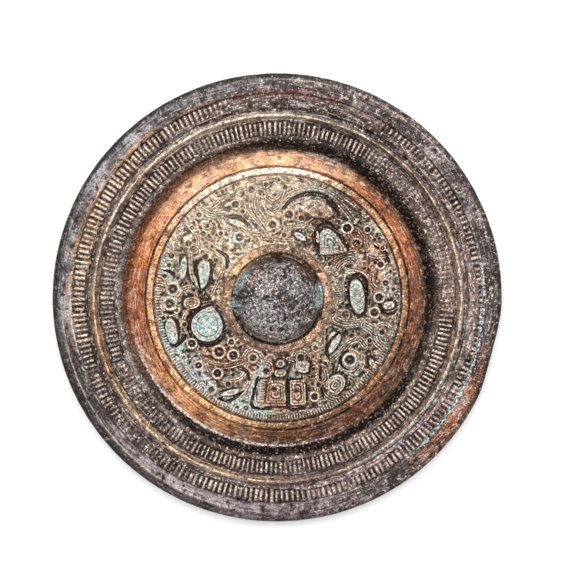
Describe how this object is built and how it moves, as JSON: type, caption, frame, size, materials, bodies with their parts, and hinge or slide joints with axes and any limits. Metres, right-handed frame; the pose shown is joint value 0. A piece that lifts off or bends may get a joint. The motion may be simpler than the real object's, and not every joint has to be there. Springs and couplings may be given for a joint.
{
  "type": "ancient bronze mirror",
  "caption": "Round cast bronze mirror, lying face down, with a raised rim, comb rings, a sunk band and a relief field round a domed knob pierced for a cord.",
  "frame": {"origin": "centre of the flat reflecting face that the mirror lies on", "axes": "+Z out of the ornamented back, +X along the cord hole through the knob, +Y across it"},
  "size_m": [0.14, 0.14, 0.0125],
  "materials": {
    "bronze": "excavated cast bronze, brown to grey patina with coppery rubbed rings and pale blue-green corrosion in the relief"
  },
  "bodies": {
    "root": {"mirror": "bronze"}
  },
  "joints": []
}
